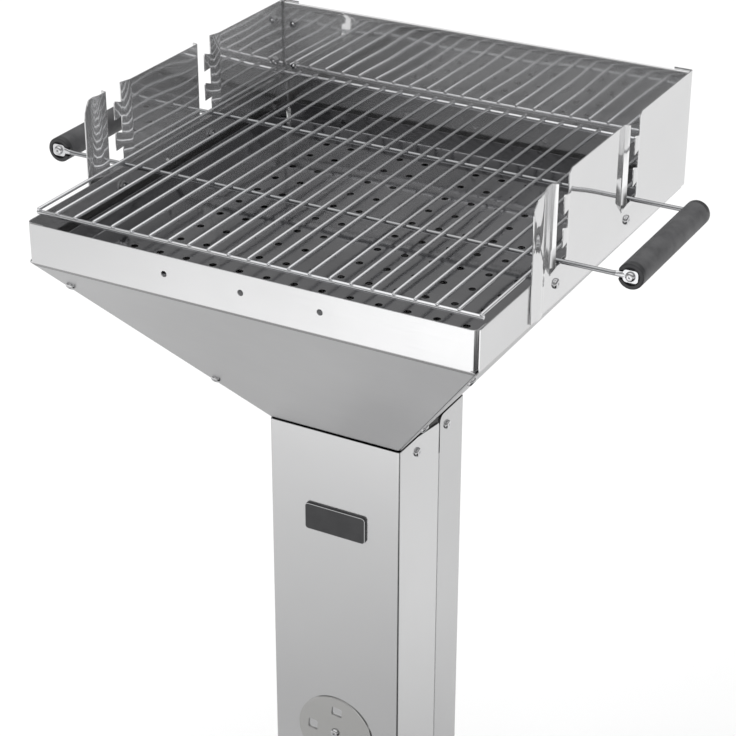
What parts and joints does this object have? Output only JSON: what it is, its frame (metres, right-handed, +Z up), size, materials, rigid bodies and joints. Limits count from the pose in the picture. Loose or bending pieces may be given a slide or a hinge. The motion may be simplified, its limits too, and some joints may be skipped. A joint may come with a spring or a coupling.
{
  "type": "column charcoal grill",
  "caption": "Free-standing charcoal grill: square fire trough on a funnel and sheet column, three-sided windshield with toothed slots, lift-out grate, loose tray and rotary air vent.",
  "frame": {"origin": "centre of the bounding box on the ground", "axes": "+Z up, -Y towards the open front of the windshield, X across between the grips"},
  "size_m": [0.559, 0.4152, 0.8395],
  "materials": {
    "steel_sheet": "smooth stainless sheet with a soft sheen",
    "polished_sheet": "bright polished stainless sheet",
    "tray_sheet": "polished perforated sheet",
    "wire": "bright plated wire",
    "fastener": "bright plated steel",
    "grip_plastic": "matt black",
    "rubber": "matt black"
  },
  "bodies": {
    "stand": {"base_plate": "steel_sheet", "foot_front_left": "rubber", "foot_front_right": "rubber", "foot_rear_left": "rubber", "foot_rear_right": "rubber", "column_front": "steel_sheet", "column_rear": "steel_sheet", "base_screw_front_left": "fastener", "base_screw_front_right": "fastener", "base_screw_rear_left": "fastener", "base_screw_rear_right": "fastener", "hopper_front": "steel_sheet", "hopper_right": "steel_sheet", "hopper_rear": "steel_sheet", "hopper_left": "steel_sheet", "hopper_screw_front_upper": "fastener", "hopper_screw_front_lower": "fastener", "hopper_screw_right_upper": "fastener", "hopper_screw_right_lower": "fastener", "hopper_screw_rear_upper": "fastener", "hopper_screw_rear_lower": "fastener", "hopper_screw_left_upper": "fastener", "hopper_screw_left_lower": "fastener", "neck_screw_left_front": "fastener", "neck_screw_left_rear": "fastener", "neck_screw_right_front": "fastener", "neck_screw_right_rear": "fastener", "windshield_left": "polished_sheet", "windshield_right": "polished_sheet", "windshield_rear": "polished_sheet", "windshield_screw_left_front": "fastener", "windshield_nut_left_front": "fastener", "windshield_screw_left_rear": "fastener", "windshield_nut_left_rear": "fastener", "windshield_screw_right_front": "fastener", "windshield_nut_right_front": "fastener", "windshield_screw_right_rear": "fastener", "windshield_nut_right_rear": "fastener", "corner_screw_left_lower": "fastener", "corner_nut_left_lower": "fastener", "corner_screw_left_upper": "fastener", "corner_nut_left_upper": "fastener", "corner_screw_right_lower": "fastener", "corner_nut_right_lower": "fastener", "corner_screw_right_upper": "fastener", "corner_nut_right_upper": "fastener", "vent_screw": "fastener", "vent_nut": "fastener"},
    "grate": {"cooking_grate": "wire", "grate_arm_front": "wire", "grate_arm_rear": "wire", "grip_left": "grip_plastic", "grip_right": "grip_plastic", "grip_screw_left_front": "fastener", "grip_screw_left_rear": "fastener", "grip_screw_right_front": "fastener", "grip_screw_right_rear": "fastener"},
    "tray": {"charcoal_tray": "tray_sheet"},
    "vent": {"vent_disc": "steel_sheet"}
  },
  "joints": [
    {"name": "grate_lift", "type": "slide", "parent": "stand", "child": "grate", "axis": [0, 0, 1], "range_m": [0, 0.06]},
    {"name": "tray_lift", "type": "slide", "parent": "stand", "child": "tray", "axis": [0, 0, 1], "range_m": [0, 0.025]},
    {"name": "vent_turn", "type": "hinge", "parent": "stand", "child": "vent", "pos_m": [0, -0.0645, 0.234], "axis": [0, 1, 0], "continuous": true}
  ]
}
